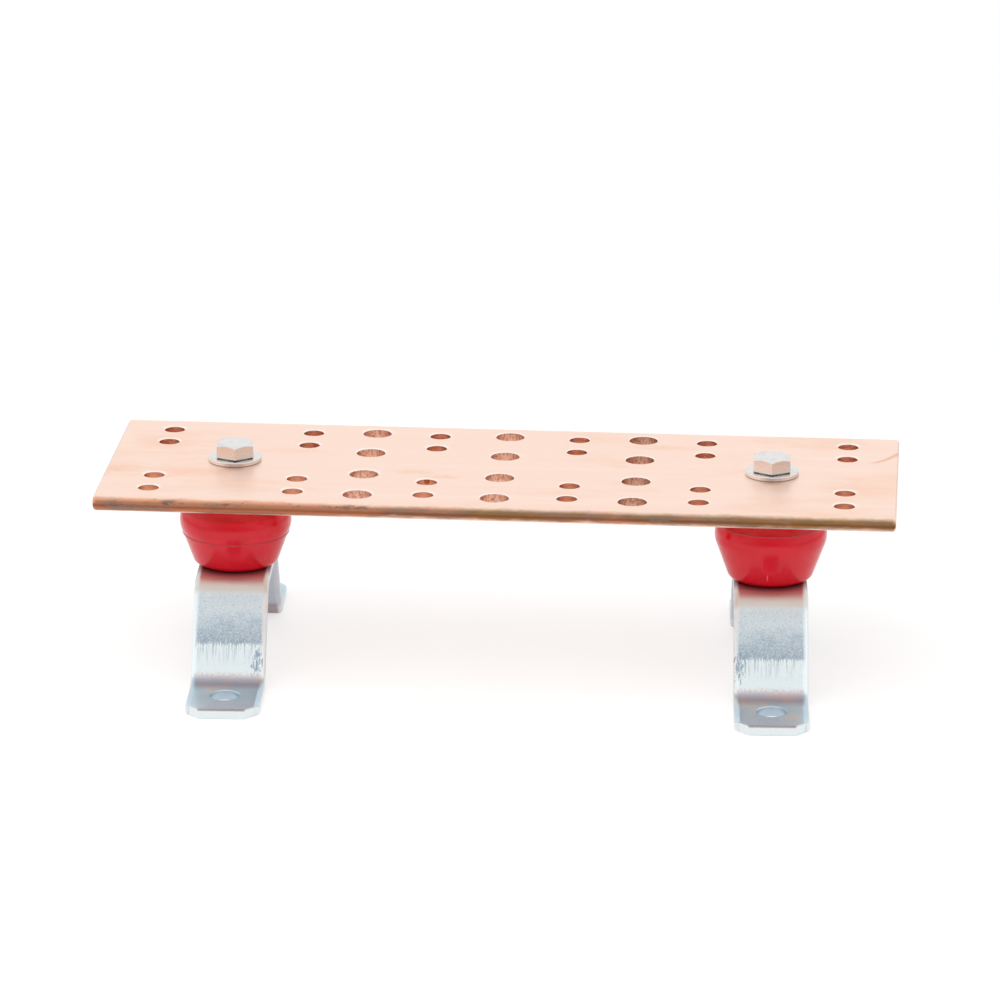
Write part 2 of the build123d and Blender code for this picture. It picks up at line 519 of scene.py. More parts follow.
@dataclass(frozen=True)
class RolledCopper(Finish):
    """Satin rolled copper with tarnished long edges and drilled holes."""

    clean: Colour = srgb(255, 227, 211)
    warm: Colour = srgb(248, 196, 164)
    streak: Colour = srgb(252, 217, 198)
    drilled: Colour = srgb(255, 216, 193)
    torn: Colour = srgb(208, 141, 113)
    bored: Colour = srgb(246, 190, 158)
    bored_dark: Colour = srgb(214, 140, 106)
    bored_near: Colour = srgb(251, 199, 166)
    # Near-white colour of the cut cones, also used for the painted highlights on the holes' far rims.
    cut_rim_and_highlight: Colour = srgb(255, 245, 238)
    orange: Colour = srgb(236, 168, 134)
    tarnish: Colour = srgb(196, 156, 134)
    olive: Colour = srgb(182, 148, 88)
    soot: Colour = srgb(126, 114, 106)
    shade: Colour = srgb(197, 178, 167)
    half_width: float = 50.8
    middle_height: float = 75.6
    # The top: streaks, smudges and scratches.
    streak_length: float = 40.0
    streak_share: float = 0.45
    smudge: Blotch = Blotch(24.0, stretch=(0.55, 1.0, 1.0), shift=(64.0, 7.0, 0.0))
    smudge_cover: Span = (60.0, 140.0, 0.4, 0.5)
    smudge_share: float = 0.42
    smear_fray: Pattern = Pattern((0.3, 0.7, 0.7), detail=4.0, roughness=0.65)
    smear_depth: float = 2.4
    smear_core: float = -0.9
    smear_share: float = 0.75
    smears: tuple[tuple[float, float, float, float], ...] = (
        (-147.0, -15.0, 13.0, 6.0),
        (-119.0, -17.0, 17.0, 8.0),
        (-33.5, -9.5, 9.0, 3.6),
        (-22.5, -15.0, 8.0, 3.4),
        (60.0, 30.0, 18.0, 3.6),
    )
    hairs: Pair = (16.0, -0.015)
    hair_share: float = 0.3
    scratch_start: Pair = (140.0, 17.0)
    scratch_bend: float = 0.09
    scratch_width: float = 0.7
    scratch_growth: float = 0.2
    scratch_fade: Span = (1.2, 0.2, 0.0, 0.7)
    scratch_rise: Span = (1.5, 3.0)
    scratch_lead: Span = (0.0, 5.0)
    # The holes: their walls and cones, and the painted highlights on their far rims.
    small_holes: HoleGrid = HoleGrid((27.4, 77.4, 132.6), (21.51, 37.39), 3.97)
    large_holes: HoleGrid = HoleGrid((0.0, 52.4), (13.57, 38.97), 5.56)
    large_reach: float = 6.4
    off_sides: Span = (-2.6, -3.6)
    off_ends: Span = (140.0, 139.0)
    wall_slope: Span = (0.62, 0.4)
    cone_from: Span = (0.56, 0.66)
    cone_to: Span = (0.86, 0.76)
    top_slope: Span = (0.9, 0.97)
    rim_reach: Span = (1.4, 0.5)
    rim_far: Span = (-0.4, 0.6)
    rim_shoulder: Span = (0.1, 0.8, 0.35, 1.0)
    # Where the painted rim highlights are faintest along the bar, and how they fade from there.
    faintest_highlights: float = 45.0
    highlight_fade: Span = (30.0, 80.0, 0.1, 0.85)
    chatter: Pattern = Pattern((1.0, 1.0, 0.6), 1.3, 4.0, 0.75)
    chatter_levels: Span = (0.36, 0.56)
    turned: Pattern = Pattern((0.4, 0.4, 2.4), detail=4.0, roughness=0.7)
    turned_levels: Span = (0.4, 0.62)
    near_across: Span = (6.0, -6.0)
    near_along: Span = (10.0, -30.0, 0.3, 0.85)
    right_walls: Span = (25.0, 45.0, 0.0, 0.42)
    turned_away: Span = (0.9, 0.35, 0.0, 0.7)
    flaw: Triple = (-27.7, -17.6, 78.0)
    flaw_reach: Span = (1.5, 0.8)
    # The long edges: tarnish, soot, nicks and painted shade.
    wander: Pattern = Pattern((0.09, 0.3, 0.3), detail=5.0, roughness=0.65)
    wander_depth: float = 1.8
    edge_drift: Span = (-110.0, -20.0, 0.35, -0.15)
    edge_fade: Span = (-1.6, -0.25)
    right_half: Span = (-70.0, 30.0, 0.0, 0.22)
    worn: Blotch = Blotch(6.0, 0.46, (0.35, 1.0, 1.0))
    mossy: Blotch = Blotch(11.0, 0.37, (0.3, 1.0, 1.0), (31.0, 0.0, 0.0))
    mossy_share: float = 0.8
    # Painted shade on the long edges' lower half, and the painted dark reflection band just under their
    # middle.
    lower_half: Span = (1.3, 0.0)
    dark_reflection_band: Span = (-1.1, -0.1)
    dark_reflection_share: float = 0.8
    crumble: Pattern = Pattern((0.4, 1.1, 1.1), detail=4.0, roughness=0.7)
    crumble_depth: float = 9.0
    crumble_level: float = -4.4
    soot_core: float = 0.0
    soot_share: float = 0.75
    soot_spots: tuple[tuple[float, float, float, float], ...] = (
        (-140.0, 75.0, 9.0, 1.3),
        (-123.0, 77.3, 3.6, 1.0),
        (-128.0, 74.6, 8.0, 1.0),
        (-101.5, 77.2, 3.0, 0.5),
        (-52.5, 77.6, 8.0, 0.8),
        (127.5, 74.7, 3.6, 0.7),
        (135.5, 74.9, 2.8, 0.5),
        (63.0, 75.6, 4.0, 0.6),
    )
    pits: Pattern = Pattern((0.45, 0.9, 0.9), roughness=0.6)
    pit_levels: Span = (0.62, 0.68)
    pit_rise: Span = (0.6, 1.4)
    pit_along: Span = (-20.0, -60.0)
    pit_share: float = 0.7
    # Roughness and relief.
    dull_spread: Pair = (-0.02, 0.03)
    drilled_dull: float = 0.16
    grain_size: float = 0.8
    drilled_relief: float = 0.4
    streak_relief: float = 0.05
    hair_relief: float = -0.6
    relief: Pair = (0.3, 0.00012)

    def wire(self, on: Surface) -> None:
        """Wires the copper.

        Args:
            on: The finish's wiring.
        """
        coarse, fine = on.streaks(on.place, self.streak_length, 1.0)
        colour, hairs = self.top(on, coarse)
        colour, drilled = self.holes(on, colour)
        colour, edge, nicks = self.edges(on, colour)

        low, high = self.dull_spread
        dull = on.between(fine, 0.0, 1.0, self.roughness + low, self.roughness + high)
        dull = on.maths("MULTIPLY_ADD", drilled, self.drilled_dull, dull)

        rough = on.maths("MULTIPLY_ADD", drilled, self.drilled_relief, edge)
        relief = on.product(on.grain(on.place, self.grain_size), rough)
        relief = on.maths("MULTIPLY_ADD", fine, self.streak_relief, relief)
        relief = on.maths("MULTIPLY_ADD", hairs, self.hair_relief, relief)
        relief = on.maths("SUBTRACT", relief, nicks)
        on.show(Base_Color=colour, Roughness=dull, Normal=on.bump(relief, *self.relief))

    def top(self, on: Surface, coarse: Socket) -> tuple[Socket, Socket]:
        """Colours the bar's broad faces.

        Args:
            on: The finish's wiring.
            coarse: The mask of the coarse streaks.

        Returns:
            The colour and the mask of the scratches.
        """
        along, across, _ = on.axes(on.place)
        cover = on.between(on.maths("ABSOLUTE", along), *self.smudge_cover)
        smudge = on.blotches(self.smudge, cover=cover)
        colour = on.tint(on.product(coarse, self.streak_share), self.clean, self.streak)
        colour = on.tint(on.product(smudge, self.smudge_share), colour, self.warm)
        fray = on.swing(on.noise(on.place, self.smear_fray), self.smear_depth)
        for x, y, *reach in self.smears:
            mark = on.patch((along, across), (x, y), reach, fray, self.smear_core)
            colour = on.tint(on.product(mark, self.smear_share), colour, self.warm)
        hairs = on.product(on.scratches(*self.hairs), self.hair_share)
        hairs = on.maths("MAXIMUM", hairs, self.curved_scratch(on))
        return on.tint(hairs, colour, self.orange), hairs

    def curved_scratch(self, on: Surface) -> Socket:
        """Marks the one long curved scratch near an end of the top.

        Args:
            on: The finish's wiring.

        Returns:
            The mask's socket.
        """
        along, across, height = on.axes(on.place)
        start, level = self.scratch_start
        past = on.maths("SUBTRACT", along, start)
        line = on.maths("MULTIPLY_ADD", on.product(past, past), self.scratch_bend, level)
        away = on.maths("ABSOLUTE", on.maths("SUBTRACT", across, line))
        width = on.maths("MULTIPLY_ADD", past, self.scratch_growth, self.scratch_width)
        return on.product(
            on.between(on.maths("DIVIDE", away, width), *self.scratch_fade),
            on.between(self.rise(on, height), *self.scratch_rise),
            on.between(past, *self.scratch_lead),
        )

    def rise(self, on: Surface, height: Socket) -> Socket:
        """Measures how far a height is above the middle of the bar's thickness."""
        return on.maths("SUBTRACT", height, self.middle_height)

    def rim(self, on: Surface, across: Socket) -> Socket:
        """Measures how far a place is past the bar's long sides, below 0 inside them."""
        return on.maths("SUBTRACT", on.maths("ABSOLUTE", across), self.half_width)

    def holes(self, on: Surface, colour: Socket) -> tuple[Socket, Socket]:
        """Colours the holes' walls and cones, and paints highlights on their far rims.

        Args:
            on: The finish's wiring.
            colour: The colour around them.

        Returns:
            The colour and the mask of the walls.
        """
        along, across, _ = on.axes(on.place)
        _, sideways, upward = on.facing()
        inside = on.product(
            on.between(self.rim(on, across), *self.off_sides),
            on.between(on.maths("ABSOLUTE", along), *self.off_ends),
        )
        drilled = on.product(inside, on.between(on.maths("ABSOLUTE", upward), *self.wall_slope))
        cone = on.product(inside, on.between(upward, *self.cone_from), on.between(upward, *self.cone_to))
        colour = on.tint(drilled, colour, self.hole_walls(on, sideways))
        colour = on.tint(cone, colour, self.cut_rim_and_highlight)
        # Painted highlights: near-white crescents on the flat top just beyond each hole's far rim.
        grids = (self.small_holes, self.large_holes)
        highlighted_rims = on.maths("MAXIMUM", *(self.rim_highlights(on, grid) for grid in grids))
        highlighted_rims = on.product(highlighted_rims, on.between(upward, *self.top_slope))
        return on.tint(highlighted_rims, colour, self.cut_rim_and_highlight), drilled

    @staticmethod
    def nearest(on: Surface, value: Socket, places: Sequence[float]) -> Socket:
        """Measures from the nearest of some rising places to a value.

        Args:
            on: The finish's wiring.
            value: The value to read.
            places: The places, from low to high.

        Returns:
            The signed distance's socket.
        """
        away = on.maths("SUBTRACT", value, places[0])
        for low, high in zip(places, places[1:]):
            past = on.maths("GREATER_THAN", value, (low + high) / 2)
            away = on.maths("MULTIPLY_ADD", past, low - high, away)
        return away

    def rim_highlights(self, on: Surface, grid: HoleGrid) -> Socket:
        """Marks the painted highlights on the far rims of the holes of one size.

        Args:
            on: The finish's wiring.
            grid: Where the holes are.

        Returns:
            The mask's socket.
        """
        along, across, _ = on.axes(on.place)
        beside = self.nearest(on, on.maths("ABSOLUTE", along), grid.columns)
        beyond = self.nearest(on, on.maths("ABSOLUTE", across), grid.rows)
        beyond = on.product(beyond, on.maths("SIGN", across))
        away = on.maths("SUBTRACT", on.distance(on.joined(beside, beyond)), grid.radius)
        aside = on.maths("DIVIDE", on.maths("ABSOLUTE", beside), grid.radius)
        bright = on.maths("ABSOLUTE", on.maths("SUBTRACT", along, self.faintest_highlights))
        return on.product(
            on.between(away, *self.rim_reach),
            on.between(on.maths("DIVIDE", beyond, grid.radius), *self.rim_far),
            on.between(aside, *self.rim_shoulder),
            on.between(bright, *self.highlight_fade),
        )

    def hole_walls(self, on: Surface, sideways: Socket) -> Socket:
        """Colours the holes' walls: torn and bright in the large ones, reamed in the small ones, with
        painted shade on walls that face along the bar.

        Args:
            on: The finish's wiring.
            sideways: How far the wall faces across the bar.

        Returns:
            The colour's socket.
        """
        along, across, _ = on.axes(on.place)
        column = self.nearest(on, on.maths("ABSOLUTE", along), self.large_holes.columns)
        large = on.maths("LESS_THAN", on.maths("ABSOLUTE", column), self.large_reach)
        chatter = on.between(on.noise(on.place, self.chatter), *self.chatter_levels)
        turned = on.between(on.noise(on.place, self.turned), *self.turned_levels)
        fresh = on.tint(chatter, self.torn, self.drilled)
        smooth = on.tint(turned, self.bored_dark, self.bored)
        near = on.product(on.between(across, *self.near_across), on.between(along, *self.near_along))
        smooth = on.tint(near, smooth, self.bored_near)
        walls = on.tint(large, smooth, fresh)
        # The large holes' walls are darker towards the right end; walls that face along the bar get painted
        # shade.
        right = on.product(on.between(along, *self.right_walls), large)
        walls = on.tint(right, walls, self.shade, "MULTIPLY")
        turned_away = on.between(on.maths("ABSOLUTE", sideways), *self.turned_away)
        walls = on.tint(turned_away, walls, self.shade, "MULTIPLY")
        flaw = on.between(on.distance(on.place, self.flaw), *self.flaw_reach)
        return on.tint(flaw, walls, self.tarnish, "MULTIPLY")

    def edges(self, on: Surface, colour: Socket) -> tuple[Socket, Socket, Socket]:
        """Colours the bar's tarnished long edges, with painted shade on their lower half and a painted dark
        reflection just under their middle.

        Args:
            on: The finish's wiring.
            colour: The colour of the rest of the bar.

        Returns:
            The colour, the mask of the edges and the mask of the nicks in them.
        """
        along, across, height = on.axes(on.place)
        rise = self.rise(on, height)
        wander = on.swing(on.noise(on.place, self.wander), self.wander_depth)
        ragged = on.maths("ADD", self.rim(on, across), wander)
        ragged = on.maths("ADD", ragged, on.between(along, *self.edge_drift))
        edge = on.between(ragged, *self.edge_fade)

        right_half = on.between(along, *self.right_half)
        worn, mossy = (
            on.blotches(blotch, cover=on.maths("ADD", right_half, blotch.cover))
            for blotch in (self.worn, self.mossy)
        )
        rub = on.tint(worn, self.orange, self.tarnish)
        rub = on.tint(on.product(mossy, self.mossy_share), rub, self.olive)
        # Painted shade: the lower half of each long edge is darkened, and a dark band just under its middle
        # is a painted reflection of the dim surround.
        shaded_lower_half = on.between(rise, *self.lower_half)
        rub = on.tint(shaded_lower_half, rub, self.shade, "MULTIPLY")
        dark_reflection_band = on.product(shaded_lower_half, on.between(rise, *self.dark_reflection_band), self.dark_reflection_share)
        rub = on.tint(dark_reflection_band, rub, self.shade, "MULTIPLY")
        crumble = on.noise(on.place, self.crumble)
        crumble = on.maths("MULTIPLY_ADD", crumble, self.crumble_depth, self.crumble_level)
        for x, z, *reach in self.soot_spots:
            mark = on.patch((along, height), (x, z), reach, crumble, self.soot_core)
            rub = on.tint(on.product(mark, self.soot_share), rub, self.soot)
        colour = on.tint(edge, colour, rub)

        shoulder = on.product(edge, on.between(rise, *self.pit_rise), on.between(along, *self.pit_along))
        pits = on.between(on.noise(on.place, self.pits), *self.pit_levels)
        nicks = on.product(pits, shoulder)
        return on.tint(on.product(nicks, self.pit_share), colour, self.soot), edge, nicks


@dataclass(frozen=True)
class MouldedRed(Finish):
    """Glossy red moulded resin with a grey parting line."""

    metallic: ClassVar[float] = 0.0
    body: Colour = srgb(226, 10, 38)
    deep: Colour = srgb(217, 7, 31)
    parting: Colour = srgb(150, 70, 76)
    tick: Colour = srgb(238, 130, 134)
    shadow: Colour = srgb(230, 160, 170)
    cloud: Blotch = Blotch(9.0)
    shadow_height: Span = (59.6, 60.1)
    shadow_reach: Span = (21.0, 16.0)
    left_parting: float = 50.7
    right_parting: float = 60.1
    parting_reach: Span = (0.3, 0.1, 0.0, 0.8)
    smear: Pattern = Pattern(scale=0.35, detail=4.0)
    smear_levels: Span = (0.3, 0.6)
    tick_place: Pair = (103.5, 42.7)
    tick_reach: Pair = (0.22, 1.5)
    tick_share: float = 0.7
    scuffs: Pair = (5.0, -0.02)
    cloud_dull: float = 0.04
    scuff_dull: float = 0.12
    peel: Pattern = Pattern(scale=0.9, detail=2.0)
    relief: Pair = (0.08, 0.0001)
    ior: float = 1.43

    def wire(self, on: Surface) -> None:
        """Wires the red resin.

        Args:
            on: The finish's wiring.
        """
        along, across, height = on.axes(on.place)
        cloud = on.blotches(self.cloud)
        colour = on.tint(cloud, self.body, self.deep)
        off = on.maths("SUBTRACT", on.maths("ABSOLUTE", along), STATION)
        shaded = on.product(
            on.between(height, *self.shadow_height),
            on.between(on.maths("ABSOLUTE", off), *self.shadow_reach),
        )
        colour = on.tint(shaded, colour, self.shadow, "MULTIPLY")

        on_left = on.maths("LESS_THAN", along, 0.0)
        lower = self.left_parting - self.right_parting
        wanted = on.maths("MULTIPLY_ADD", on_left, lower, self.right_parting)
        away = on.maths("ABSOLUTE", on.maths("SUBTRACT", height, wanted))
        line = on.product(
            on.between(away, *self.parting_reach),
            on.between(on.noise(on.place, self.smear), *self.smear_levels),
        )
        colour = on.tint(line, colour, self.parting)
        tick = on.product(
            on.patch((along, height), self.tick_place, self.tick_reach, 0.0),
            on.maths("LESS_THAN", across, 0.0),
            self.tick_share,
        )
        colour = on.tint(tick, colour, self.tick)

        dull = on.between(cloud, 0.0, 1.0, self.roughness, self.roughness + self.cloud_dull)
        dull = on.maths("MULTIPLY_ADD", on.scratches(*self.scuffs), self.scuff_dull, dull)
        peel = on.bump(on.noise(on.place, self.peel), *self.relief)
        on.show(Base_Color=colour, Roughness=dull, Normal=peel, IOR=self.ior)


@dataclass(frozen=True)
class Strip:
    """What the masks of a bracket read: the place on its strip, its facing and its patterns."""

    place: Socket
    across: Socket
    along: Socket
    height: Socket
    aside: Socket
    reach: Socket
    upward: Socket
    outer: Socket
    middle: Socket
    flecks: Socket
    drawn: Socket


@dataclass(frozen=True)
class BrightZinc(Finish):
    """Bright blue zinc plating, mottled on the legs and burnished where a bending tool rubbed."""

    metallic: ClassVar[float] = 0.86
    station: float
    turn: float
    scuff: Pair
    bright: Colour = srgb(243, 253, 255)
    spark: Colour = srgb(240, 248, 252)
    mottle: Colour = srgb(226, 242, 250)
    dark: Colour = srgb(150, 170, 187)
    inner_shade: Colour = srgb(200, 207, 216)
    edge: Colour = srgb(222, 230, 232)
    bore: Colour = srgb(182, 203, 216)
    seat_shadow_tint: Colour = srgb(160, 112, 116)
    top_reflection_tint: Colour = srgb(228, 230, 228)
    blue: Colour = srgb(178, 208, 224)
    tan: Colour = srgb(208, 208, 204)
    pale: Colour = srgb(208, 230, 242)
    bend_reflection_tint: Colour = srgb(222, 196, 198)
    rust: Colour = srgb(142, 92, 84)
    outer_slope: Span = (0.2, 0.5)
    crown: Span = (13.6, 12.0)
    flecks: Pattern = Pattern(scale=1.5, detail=5.0, roughness=0.8)
    streaks: Pair = (14.0, 0.9)
    # The legs: mottled above, rubbed below.
    leg_top: float = 33.5
    leg_fade: Span = (1.0, -1.5)
    rub_top: float = 16.4
    rub_fade: Span = (-0.3, 0.3)
    rub_fray: float = 2.4
    deepen: Span = (30.5, 15.4, 0.05, 0.9)
    patches: Blotch = Blotch(5.0)
    patch_depth: float = 0.24
    dark_flecks: Span = (0.5, 0.3, 0.0, 0.6)
    bright_flecks: Span = (0.46, 0.66, 0.0, 0.85)
    seat_shadow_reach: Span = (24.0, 14.5)
    seat_shadow_slope: Span = (0.2, 0.7)
    rub_bottom: Span = (4.0, 7.0)
    score_levels: Span = (0.42, 0.8)
    score_heights: Span = (8.0, 16.9)
    score_share: float = 0.52
    chips: Pattern = Pattern((1.5, 0.0, 0.4), detail=4.0, roughness=0.7)
    chip_depth: float = -16.0
    chip_level: float = 8.6
    scuff_reach: Pair = (2.1, 4.0)
    scuff_share: float = 0.9
    # The feet: tinted, with a painted pink reflection in the lower bend and a rusty lip.
    foot_height: Span = (6.4, 4.6)
    foot_share: float = 0.9
    foot_hole: float = 60.1
    hue: Blotch = Blotch(13.0, shift=(9.0, 4.0, 0.0))
    pale_reach: Span = (60.1, 75.9, 0.0, 0.8)
    bore_reach: Span = (7.0, 6.2)
    foot_slope: Span = (0.35, 0.75)
    bend_fray: float = 7.0
    bend_height: Span = (7.6, 5.6)
    bend_reach: Span = (56.0, 48.0)
    bend_share: float = 0.9
    lip_reach: Span = (75.4, 75.9)
    lip_height: Span = (3.0, 3.6)
    lip_aside: Span = (9.6, 8.6)
    lip_share: float = 0.55
    # Metal, roughness and relief.
    bend_metal: float = -0.35
    curl: Span = (30.5, 34.0)
    leg_dull: float = 0.14
    fleck_dull: float = 0.16
    bend_dull: float = 0.2
    crown_relief: Pair = (1.0, 0.0005)
    grain_size: float = 0.4
    leg_relief: float = 0.4
    plain_relief: float = 0.06
    score_relief: float = 0.5
    relief: Pair = (0.5, 0.0001)

    def wire(self, on: Surface) -> None:
        """Wires the zinc plating.

        Args:
            on: The finish's wiring.
        """
        at = self.strip(on)
        colour, leg, scored = self.legs(on, at)
        colour, bend = self.feet(on, at, colour)

        curl = on.between(at.height, *self.curl)
        dull = on.maths("MAXIMUM", leg, curl)
        dull = on.maths("MULTIPLY_ADD", dull, self.leg_dull, self.roughness)
        dull = on.maths("ADD", dull, on.swing(at.flecks, self.fleck_dull))
        dull = on.maths("MULTIPLY_ADD", bend, self.bend_dull, dull)

        rough = on.maths("MULTIPLY_ADD", leg, self.leg_relief, self.plain_relief)
        relief = on.product(on.grain(at.place, self.grain_size), rough)
        relief = on.maths("MULTIPLY_ADD", scored, self.score_relief, relief)
        on.show(
            Base_Color=colour,
            Metallic=on.maths("MULTIPLY_ADD", bend, self.bend_metal, self.metallic),
            Roughness=dull,
            Normal=on.bump(relief, *self.relief, on.bump(at.middle, *self.crown_relief)),
        )

    def strip(self, on: Surface) -> Strip:
        """Reads the place on the bracket's own strip, which is turned on its bolt.

        Args:
            on: The finish's wiring.

        Returns:
            What the masks read.
        """
        local = on.node("ShaderNodeMapping", vector_type="TEXTURE")
        on.feed(local.inputs["Vector"], on.place)
        local.inputs["Location"].default_value = (self.station, 0.0, 0.0)
        local.inputs["Rotation"].default_value = (0.0, 0.0, math.radians(self.turn))
        place = local.outputs[0]
        across, along, height = on.axes(place)
        aside = on.maths("ABSOLUTE", across)
        _, facing, upward = on.facing()
        outward = on.product(facing, on.maths("SIGN", along))
        _, drawn = on.streaks(on.joined(height, across), *self.streaks)
        return Strip(
            place=place,
            across=across,
            along=along,
            height=height,
            aside=aside,
            reach=on.maths("ABSOLUTE", along),
            upward=upward,
            outer=on.between(outward, *self.outer_slope),
            middle=on.between(aside, *self.crown),
            flecks=on.noise(place, self.flecks),
            drawn=drawn,
        )

    def legs(self, on: Surface, at: Strip) -> tuple[Socket, Socket, Socket]:
        """Colours the bracket's top and legs.

        Args:
            on: The finish's wiring.
            at: What the masks read.

        Returns:
            The colour, the mask of the mottled legs and the mask of the scored lines.
        """
        level = on.maths("ADD", at.height, on.swing(at.drawn, self.rub_fray))
        level = on.maths("SUBTRACT", level, self.rub_top)
        drop = on.maths("SUBTRACT", at.height, self.leg_top)
        leg = on.product(
            at.outer,
            on.between(level, *self.rub_fade),
            on.between(drop, *self.leg_fade),
            at.middle,
        )
        ground = on.swing(on.blotches(self.patches, at.place), self.patch_depth)
        ground = on.maths("ADD", on.between(at.height, *self.deepen), ground)
        mottled = on.tint(ground, self.mottle, self.dark)
        mottled = on.tint(on.between(at.flecks, *self.dark_flecks), mottled, self.dark)
        mottled = on.tint(on.between(at.flecks, *self.bright_flecks), mottled, self.spark)
        # Painted shade: the faces turned inward are a darker grey than the outer ones.
        colour = on.tint(at.outer, self.inner_shade, self.bright)
        # Painted reflection: the top and upper bend are tinted a darker, neutral grey, for the copper and
        # resin above them.
        colour = on.tint(on.between(drop, *reversed(self.leg_fade)), colour, self.top_reflection_tint)
        colour = on.tint(leg, colour, mottled)
        # Painted shadow and red reflection on the top around the insulator's base.
        seat_shadow = on.product(
            on.between(on.distance(on.joined(at.across, at.along)), *self.seat_shadow_reach),
            on.between(at.upward, *self.seat_shadow_slope),
        )
        colour = on.tint(seat_shadow, colour, self.seat_shadow_tint, "MULTIPLY")

        rubbed = on.product(
            at.outer,
            on.between(level, *reversed(self.rub_fade)),
            on.between(at.height, *self.rub_bottom),
        )
        scored = on.product(
            on.between(at.drawn, *self.score_levels),
            on.between(at.height, *self.score_heights),
            at.middle,
            rubbed,
        )
        colour = on.tint(on.product(scored, self.score_share), colour, self.dark)
        chips = on.noise(at.place, self.chips)
        chips = on.maths("MULTIPLY_ADD", chips, self.chip_depth, self.chip_level)
        spot = on.patch((at.across, at.height), self.scuff, self.scuff_reach, chips)
        spot = on.product(at.outer, spot, self.scuff_share)
        return on.tint(spot, colour, self.dark), leg, scored

    def feet(self, on: Surface, at: Strip, colour: Socket) -> tuple[Socket, Socket]:
        """Colours the bracket's feet.

        Args:
            on: The finish's wiring.
            at: What the masks read.
            colour: The colour of the rest of the bracket.

        Returns:
            The colour and the mask of the lower bends, which carry the painted reflection.
        """
        tinted = on.tint(on.blotches(self.hue), self.blue, self.tan)
        tinted = on.tint(on.between(at.reach, *self.pale_reach), tinted, self.pale)
        away = on.distance(on.joined(at.across, at.reach), (0.0, self.foot_hole, 0.0))
        cut = on.tint(on.between(away, *self.bore_reach), self.edge, self.bore)
        tinted = on.tint(on.between(at.upward, *self.foot_slope), cut, tinted)
        foot = on.product(on.between(at.height, *self.foot_height), self.foot_share)
        colour = on.tint(foot, colour, tinted)

        ridge = on.maths("ADD", at.height, on.swing(at.flecks, self.bend_fray))
        bend = on.product(
            on.between(ridge, *self.bend_height),
            on.between(at.reach, *self.bend_reach),
            at.middle,
        )
        # Painted reflection: the lower bend is tinted pink, for the red insulator and copper that it
        # reflects.
        colour = on.tint(on.product(bend, self.bend_share), colour, self.bend_reflection_tint, "MULTIPLY")
        lip = on.product(
            on.between(at.reach, *self.lip_reach),
            on.between(at.height, *self.lip_height),
            on.between(at.aside, *self.lip_aside),
            self.lip_share,
        )
        return on.tint(lip, colour, self.rust), bend


@dataclass(frozen=True)
class SatinStainless(Finish):
    """Satin stainless steel of the bolts and washers, worn on top, with painted shade in the gaps under the
    washers and heads.
    """

    body: Colour = srgb(230, 229, 228)
    shade: Colour = srgb(204, 201, 198)
    painted_flank: Colour = srgb(245, 234, 228)
    flank_right_shade: Colour = srgb(222, 212, 206)
    # Colour of the painted shade in the gaps under the washers and heads.
    gap: Colour = srgb(92, 74, 66)
    bar_top: float = 79.15
    flat_slope: Span = (0.5, 0.9)
    right_slope: Span = (0.1, 0.4)
    flecks: Pattern = Pattern(scale=2.0, detail=5.0, roughness=0.75)
    fleck_levels: Span = (0.4, 0.6)
    stain: Blotch = Blotch(3.0, 0.48)
    gap_ends: Span = (0.4, 0.15)
    gap_starts: Span = (-0.3, -0.1)
    gap_shade_share: float = 0.7
    seat_ends: Span = (2.15, 2.05)
    seat_starts: Span = (1.6, 1.67)
    seat_flat: Span = (1.0, 0.0, 0.0, 0.8)
    dull_levels: Span = (0.3, 0.7)
    dull_spread: Pair = (-0.05, 0.08)
    flat_relief: Span = (0.0, 1.0, 0.05, 0.6)
    relief: Pair = (0.15, 0.00004)

    def wire(self, on: Surface) -> None:
        """Wires the stainless steel.

        Args:
            on: The finish's wiring.
        """
        _, _, height = on.axes(on.place)
        rightward, _, upward = on.facing()
        flat = on.between(on.maths("ABSOLUTE", upward), *self.flat_slope)
        flecks = on.noise(on.place, self.flecks)
        worn = on.product(on.blotches(self.stain), on.between(flecks, *self.fleck_levels))
        # Painted reflection and shade: the sides are tinted pink for the copper they reflect, and the sides
        # facing right are darker.
        painted_flank = on.tint(on.between(rightward, *self.right_slope), self.painted_flank, self.flank_right_shade)
        colour = on.tint(flat, painted_flank, on.tint(worn, self.body, self.shade))

        # Painted shade: thin dark lines at the foot of each washer and under each head.
        rise = on.maths("SUBTRACT", height, self.bar_top)
        shade_under_washer = on.product(
            on.between(rise, *self.gap_ends),
            on.between(rise, *self.gap_starts),
            self.gap_shade_share,
        )
        shade_under_head = on.product(
            on.between(rise, *self.seat_ends),
            on.between(rise, *self.seat_starts),
            on.between(flat, *self.seat_flat),
        )
        for gap in (shade_under_washer, shade_under_head):
            colour = on.tint(gap, colour, self.gap)

        low, high = (self.roughness + spread for spread in self.dull_spread)
        relief = on.product(flecks, on.between(flat, *self.flat_relief))
        on.show(
            Base_Color=colour,
            Roughness=on.between(flecks, *self.dull_levels, low, high),
            Normal=on.bump(relief, *self.relief),
        )


@dataclass(frozen=True)
class TurnedBrass(Finish):
    """Turned brass of the moulded-in inserts."""

    body: Colour = srgb(214, 180, 110)
    shade: Colour = srgb(176, 140, 78)
    rings: Pattern = Pattern((0.2, 0.2, 5.0))
    ring_levels: Span = (0.3, 0.7)
    ring_dull: float = 0.15
    stain: Blotch = Blotch(5.0)
    relief: Pair = (0.2, 0.00006)

    def wire(self, on: Surface) -> None:
        """Wires the brass.

        Args:
            on: The finish's wiring.
        """
        rings = on.noise(on.place, self.rings)
        duller = self.roughness + self.ring_dull
        on.show(
            Base_Color=on.tint(on.blotches(self.stain), self.body, self.shade),
            Roughness=on.between(rings, *self.ring_levels, self.roughness, duller),
            Normal=on.bump(rings, *self.relief),
        )


